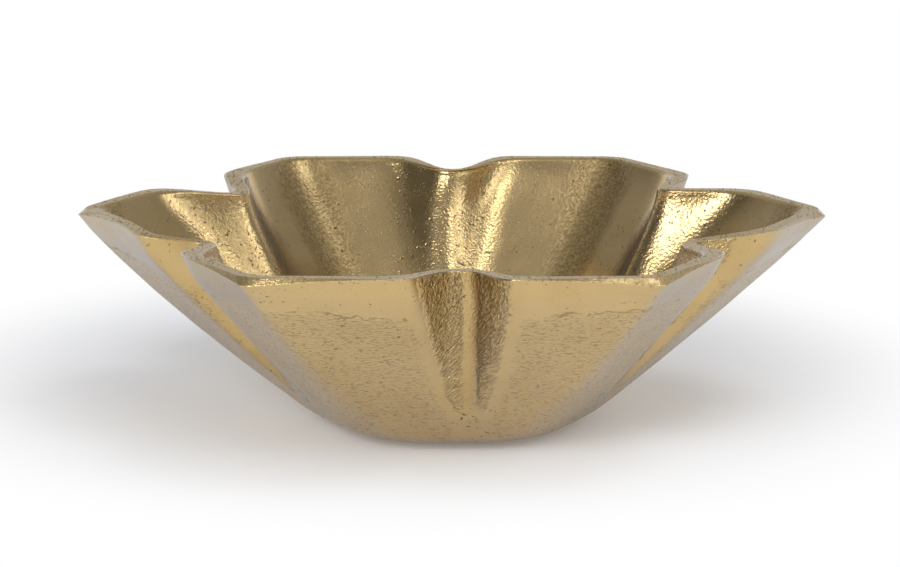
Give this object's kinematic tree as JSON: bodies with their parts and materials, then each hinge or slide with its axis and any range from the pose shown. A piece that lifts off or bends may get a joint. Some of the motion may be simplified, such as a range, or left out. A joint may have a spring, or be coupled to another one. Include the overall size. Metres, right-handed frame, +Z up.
{
  "type": "urli bowl",
  "caption": "Cast brass urli bowl shaped like an open flower: deep grooves part its flaring wall into petals above a small flat base on felt pads, with a flat ground rim.",
  "frame": {"origin": "on the bowl's axis at the undersides of the felt pads, where it stands on a surface", "axes": "+Z up along the bowl's axis, +X through the tip of one petal, and +Y and -Y through the middle of a groove, with the picture taken from -Y"},
  "size_m": [0.2496, 0.22, 0.0715],
  "materials": {
    "cast_brass": "sand-cast and satin-burnished, with a fine grain, small pits, a ground rim and brighter polished edges",
    "felt": "dark self-adhesive wool felt"
  },
  "bodies": {
    "root": {"cast_bowl": "cast_brass", "felt_pad_1": "felt", "felt_pad_2": "felt", "felt_pad_3": "felt", "felt_pad_4": "felt", "felt_pad_5": "felt", "felt_pad_6": "felt"}
  },
  "joints": []
}
